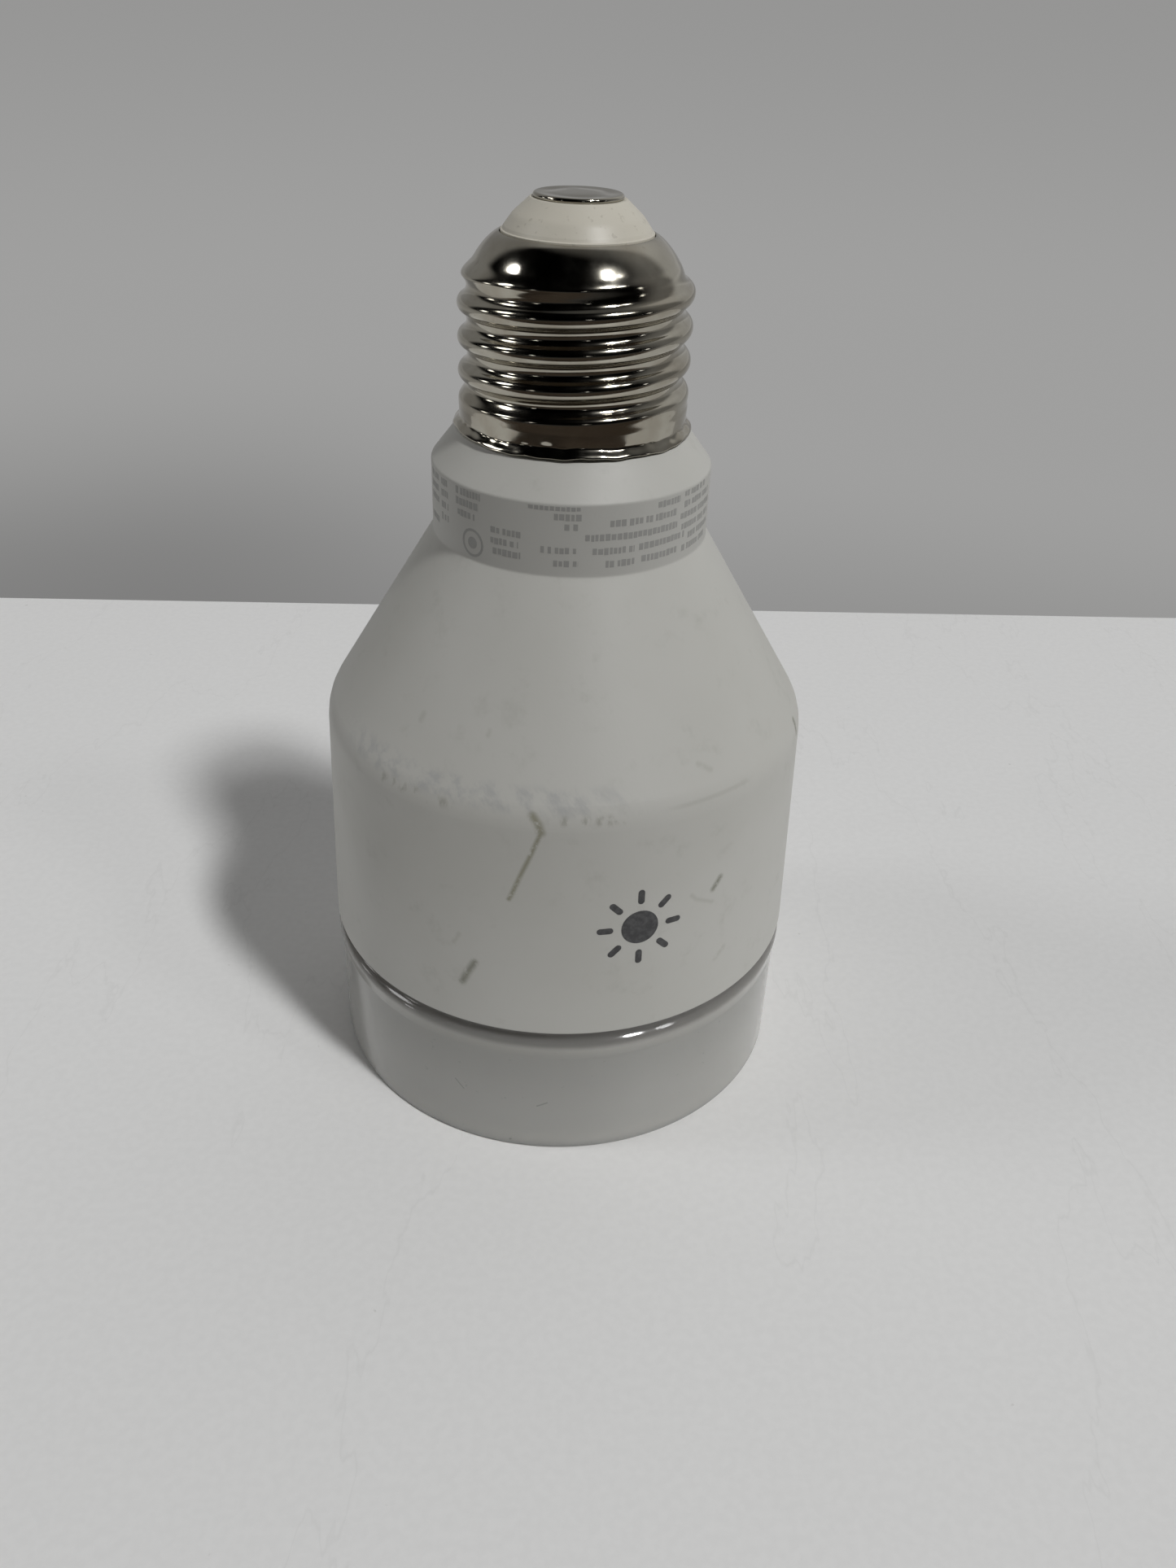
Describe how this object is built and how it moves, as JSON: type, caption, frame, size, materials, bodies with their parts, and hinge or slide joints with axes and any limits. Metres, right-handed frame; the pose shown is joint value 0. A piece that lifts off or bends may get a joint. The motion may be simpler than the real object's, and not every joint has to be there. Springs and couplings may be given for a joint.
{
  "type": "smart light bulb",
  "caption": "Smart LED bulb with a flat-faced opal diffuser, conical white housing, threaded screw base, and LED board, driver and radio boards inside.",
  "frame": {"origin": "centre of the diffuser's flat face, which is the plane the bulb stands on", "axes": "+Z along the bulb's axis towards the screw base and centre contact; -Y out of the printed side of the housing; +X to the right when the printed side is seen"},
  "size_m": [0.0628, 0.0628, 0.1114],
  "materials": {
    "housing_white": "matte, fine moulded texture",
    "opal_white": "glossy opal",
    "nickel": "nickel-plated, rolled sheet",
    "cream_plastic": "satin",
    "silicone_white": "soft cured silicone",
    "aluminium": "pressed, satin",
    "board_white": "white solder mask",
    "board_green": "green solder mask",
    "pad_grey": "soft, matte",
    "steel": "tin-plated",
    "phosphor_yellow": "phosphor resin",
    "lens_clear": "white package",
    "sleeve_natural": "natural, moulded",
    "can_black": "heat-shrunk film",
    "chip_black": "moulded epoxy",
    "ferrite": "sintered",
    "copper": "copper",
    "tape_yellow": "wound polyester tape",
    "film_blue": "moulded epoxy",
    "varistor_orange": "dipped coating",
    "resistor_green": "lacquered",
    "wire_red": "insulated wire",
    "wire_white": "insulated wire"
  },
  "bodies": {
    "root": {"screw_shell": "nickel", "base_insulator": "cream_plastic", "centre_contact": "nickel", "housing": "housing_white", "diffuser": "opal_white", "seal_ring": "silicone_white", "led_board": "board_white", "thermal_pad": "pad_grey", "heat_sink_cup": "aluminium", "board_header": "chip_black", "driver_sleeve": "sleeve_natural", "driver_board": "board_green", "transformer_core": "ferrite", "transformer_bobbin": "sleeve_natural", "transformer_winding": "tape_yellow", "choke_core": "ferrite", "choke_winding": "copper", "bulk_capacitor": "can_black", "output_capacitor": "can_black", "film_capacitor": "film_blue", "bridge_rectifier": "chip_black", "power_switch": "chip_black", "led_controller": "chip_black", "fuse_resistor": "resistor_green", "varistor": "varistor_orange", "line_wire": "wire_red", "neutral_wire": "wire_white", "radio_board": "board_green", "radio_shield": "steel", "radio_chip": "chip_black", "antenna": "copper", "radio_header": "chip_black", "board_screw_1": "steel", "board_screw_2": "steel", "board_screw_3": "steel", "white_led_1": "phosphor_yellow", "white_led_2": "phosphor_yellow", "white_led_3": "phosphor_yellow", "white_led_4": "phosphor_yellow", "white_led_5": "phosphor_yellow", "white_led_6": "phosphor_yellow", "white_led_7": "phosphor_yellow", "white_led_8": "phosphor_yellow", "white_led_9": "phosphor_yellow", "white_led_10": "phosphor_yellow", "white_led_11": "phosphor_yellow", "white_led_12": "phosphor_yellow", "colour_led_1": "lens_clear", "colour_led_2": "lens_clear", "colour_led_3": "lens_clear", "colour_led_4": "lens_clear"}
  },
  "joints": []
}
